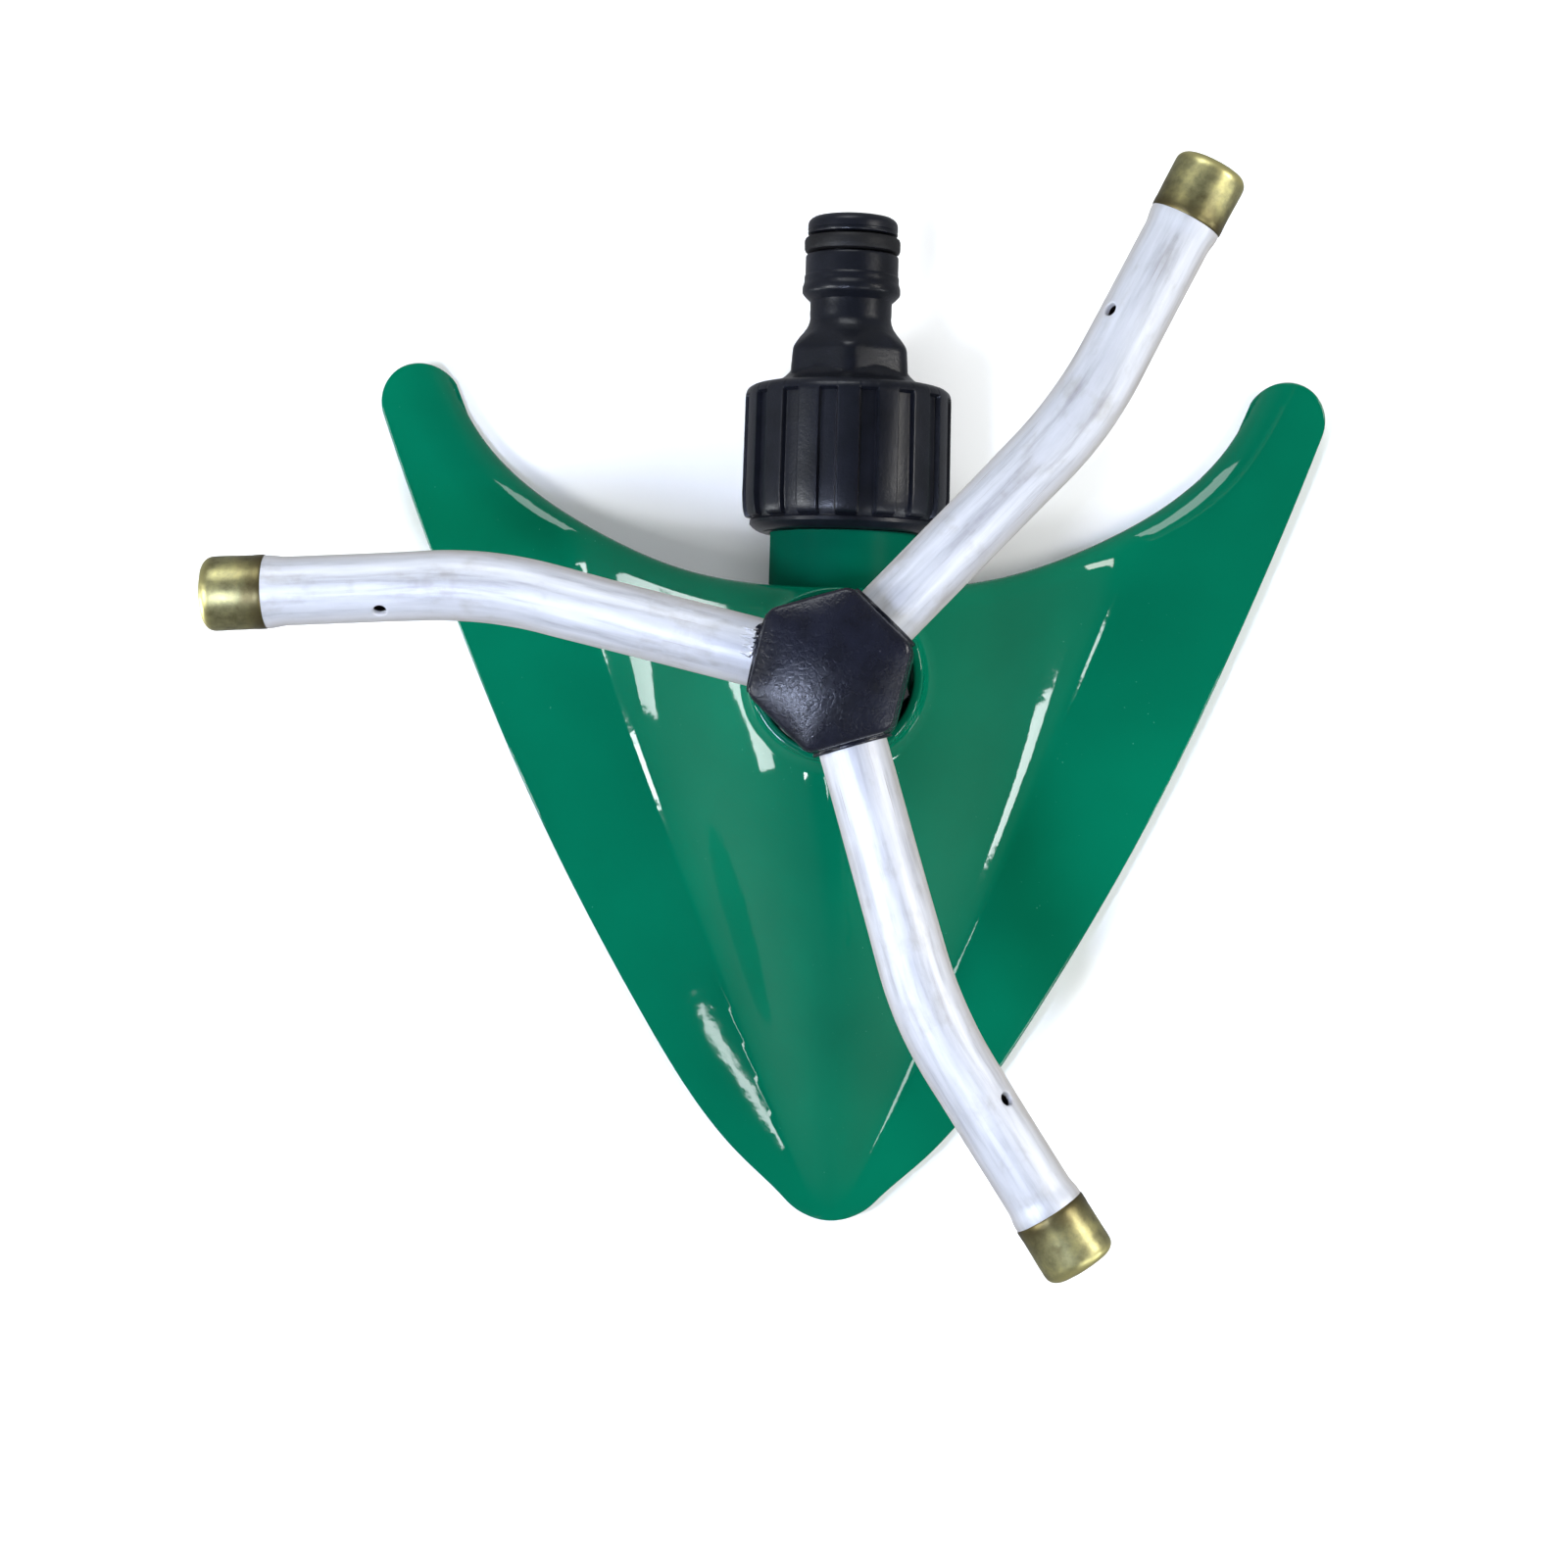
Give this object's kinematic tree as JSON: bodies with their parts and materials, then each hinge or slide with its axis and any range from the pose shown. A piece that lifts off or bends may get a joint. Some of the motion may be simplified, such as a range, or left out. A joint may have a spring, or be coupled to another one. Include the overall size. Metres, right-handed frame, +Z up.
{
  "type": "rotary lawn sprinkler",
  "caption": "Lawn sprinkler whose bent tube arms spin on a hub above an arrow-shaped base, with a ribbed screw-on hose connector.",
  "frame": {"origin": "on the rotor's axis, at the ground, in the middle of the elbow's round foot", "axes": "+Z up along the rotor's axis, +Y along the inlet pipe towards the hose, +X to the right when looking from the nose to the hose side"},
  "size_m": [0.1899, 0.1845, 0.076],
  "materials": {
    "green_paint": "gloss",
    "zinc_steel": "satin",
    "brass": "dull, slightly tarnished",
    "black_rubber": "matte",
    "white_nylon": "matte",
    "black_plastic": "fine leather grain",
    "aluminium_tube": "drawn, light scratches",
    "grey_plastic": "satin"
  },
  "bodies": {
    "base": {"base_shell": "green_paint", "inlet_elbow": "green_paint", "elbow_screws": "zinc_steel", "bearing_nut": "black_plastic", "bearing_seal": "black_rubber", "lower_thrust_washer": "white_nylon", "upper_thrust_washer": "white_nylon"},
    "rotor": {"hub_body": "black_plastic", "hub_cap": "black_plastic", "spindle": "brass", "spindle_o_ring": "black_rubber", "arm_tube_1": "aluminium_tube", "arm_tube_2": "aluminium_tube", "arm_tube_3": "aluminium_tube"},
    "end_cap_1": {"end_cap_1": "brass"},
    "end_cap_2": {"end_cap_2": "brass"},
    "end_cap_3": {"end_cap_3": "brass"},
    "connector_travel": {"connector_washer": "black_rubber"},
    "connector": {"hose_connector": "grey_plastic", "spigot_o_ring": "black_rubber"}
  },
  "joints": [
    {"name": "rotor_spin", "type": "hinge", "parent": "base", "child": "rotor", "pos_m": [0, 0, 0.062], "axis": [0, 0, 1], "continuous": true},
    {"name": "end_cap_turn_1", "type": "hinge", "parent": "rotor", "child": "end_cap_1", "pos_m": [0.05601, 0.07546, 0.062], "axis": [0.4446, 0.8957, 0], "continuous": true},
    {"name": "end_cap_turn_2", "type": "hinge", "parent": "rotor", "child": "end_cap_2", "pos_m": [-0.09335, 0.01077, 0.062], "axis": [-0.998, -0.0628, 0], "continuous": true},
    {"name": "end_cap_turn_3", "type": "hinge", "parent": "rotor", "child": "end_cap_3", "pos_m": [0.03735, -0.08623, 0.062], "axis": [0.5534, -0.8329, 0], "continuous": true},
    {"name": "connector_slide", "type": "slide", "parent": "base", "child": "connector_travel", "axis": [0, 1, 0], "range_m": [0, 0.0165]},
    {"name": "connector_turn", "type": "hinge", "parent": "connector_travel", "child": "connector", "pos_m": [0, 0.045, 0.02], "axis": [0, 1, 0], "range_deg": [0, 3240]}
  ],
  "couplings": [
    {"joint": "connector_slide", "follows": "connector_turn", "m_per_rad": 0.00028871}
  ]
}
